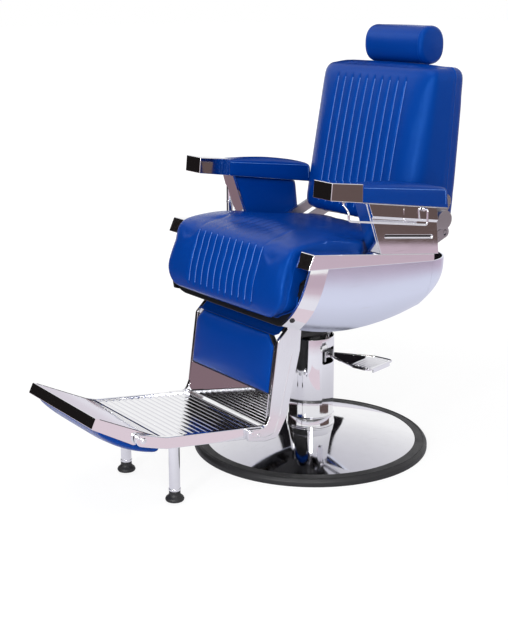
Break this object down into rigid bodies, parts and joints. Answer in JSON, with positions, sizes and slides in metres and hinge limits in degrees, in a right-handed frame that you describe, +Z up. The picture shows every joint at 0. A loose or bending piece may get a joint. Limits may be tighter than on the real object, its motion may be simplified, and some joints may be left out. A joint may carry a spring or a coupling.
{
  "type": "barber chair",
  "caption": "Barber chair on a round pump base: seat lifts and swivels, back reclines as the leg rest swings out, headrest slides and foot plate flips over.",
  "frame": {"origin": "on the floor, on the axis of the pump column", "axes": "+Z up, the chair faces -Y, the sitter's left hand is at +X"},
  "size_m": [0.6794, 1.1648, 1.169],
  "materials": {
    "blue_vinyl": "smooth royal blue vinyl, soft sheen",
    "chrome": "mirror chrome plate",
    "polished_aluminium": "polished cast aluminium",
    "bright_steel": "bright turned or cut steel",
    "black_paint": "satin black paint",
    "black_rubber": "moulded black rubber",
    "plywood": "raw plywood"
  },
  "bodies": {
    "base": {"base_plate": "bright_steel", "base_disc": "chrome", "base_rim": "black_rubber", "pump_cylinder": "bright_steel", "pump_gland": "black_rubber", "column_collar": "chrome", "column_sleeve": "chrome", "pedal_bracket": "bright_steel"},
    "pedal": {"foot_pedal": "chrome"},
    "piston": {"piston_rod": "chrome"},
    "seat": {"mount_plate": "black_paint", "seat_frame": "black_paint", "seat_board": "plywood", "leg_pivot_shaft": "bright_steel", "gas_spring_barrel": "black_paint", "seat_cushion": "blue_vinyl", "seat_trim": "black_paint", "side_cover_left": "polished_aluminium", "side_cover_right": "polished_aluminium", "rear_cover": "polished_aluminium", "seat_rail_left": "chrome", "seat_rail_right": "chrome", "arm_core_left": "blue_vinyl", "arm_core_right": "blue_vinyl", "arm_panel_left": "chrome", "arm_panel_right": "chrome", "arm_pad_left": "blue_vinyl", "arm_pad_right": "blue_vinyl", "arm_cap_left": "chrome", "arm_cap_right": "chrome", "towel_rail": "chrome", "hinge_bracket_left": "bright_steel", "hinge_bracket_right": "bright_steel"},
    "back": {"back_shell": "blue_vinyl", "back_cushion": "blue_vinyl", "hinge_plate_left": "bright_steel", "hinge_plate_right": "bright_steel"},
    "headrest": {"headrest_post": "chrome", "headrest_pad": "blue_vinyl"},
    "headrest_knob": {"headrest_knob": "black_paint"},
    "link": {"link_left": "bright_steel", "link_right": "bright_steel", "link_crossbar": "bright_steel", "gas_spring_rod": "bright_steel"},
    "leg_rest": {"leg_arm_left": "polished_aluminium", "leg_arm_right": "polished_aluminium", "calf_frame": "black_paint", "calf_pad": "blue_vinyl", "kick_plate": "chrome", "foot_platform": "polished_aluminium", "platform_rail_left": "chrome", "platform_rail_right": "chrome", "leg_tube_left": "chrome", "leg_tube_right": "chrome", "foot_pad_left": "black_rubber", "foot_pad_right": "black_rubber"},
    "flip_plate": {"flip_plate": "chrome", "flip_pad": "blue_vinyl"},
    "recline_lever": {"recline_lever": "chrome"}
  },
  "joints": [
    {"name": "pedal_press", "type": "hinge", "parent": "base", "child": "pedal", "pos_m": [0.05434, 0.01355, 0.268], "axis": [-0.2419, 0.9703, 0], "range_deg": [0, 18], "stiffness_Nm_per_rad": 6, "springref_deg": -17.19},
    {"name": "seat_lift", "type": "slide", "parent": "base", "child": "piston", "axis": [0, 0, 1], "range_m": [0, 0.15]},
    {"name": "seat_swivel", "type": "hinge", "parent": "piston", "child": "seat", "pos_m": [0, 0, 0.35], "axis": [0, 0, 1], "continuous": true},
    {"name": "back_recline", "type": "hinge", "parent": "seat", "child": "back", "pos_m": [0, 0.245, 0.655], "axis": [-1, 0, 0], "range_deg": [0, 42]},
    {"name": "leg_swing", "type": "hinge", "parent": "seat", "child": "leg_rest", "pos_m": [0, -0.21, 0.49], "axis": [-1, 0, 0], "range_deg": [0, 27.31]},
    {"name": "link_slide", "type": "slide", "parent": "seat", "child": "link", "axis": [0, -1, 0], "range_m": [0, 0.02842]},
    {"name": "headrest_slide", "type": "slide", "parent": "back", "child": "headrest", "axis": [0, 0.075, 0.9972], "range_m": [0, 0.11]},
    {"name": "headrest_knob_turn", "type": "hinge", "parent": "back", "child": "headrest_knob", "pos_m": [0, 0.35, 0.982], "axis": [0, 1, 0], "continuous": true},
    {"name": "foot_plate_flip", "type": "hinge", "parent": "leg_rest", "child": "flip_plate", "pos_m": [0, -0.655, 0.206], "axis": [-1, 0, 0], "range_deg": [0, 120]},
    {"name": "recline_lever_pull", "type": "hinge", "parent": "seat", "child": "recline_lever", "pos_m": [-0.31, -0.043, 0.505], "axis": [-1, 0, 0], "range_deg": [0, 20], "stiffness_Nm_per_rad": 3, "springref_deg": -17.19}
  ],
  "couplings": [
    {"joint": "leg_swing", "follows": "back_recline", "ratio": 0.65},
    {"joint": "link_slide", "follows": "back_recline", "m_per_rad": 0.038632}
  ]
}
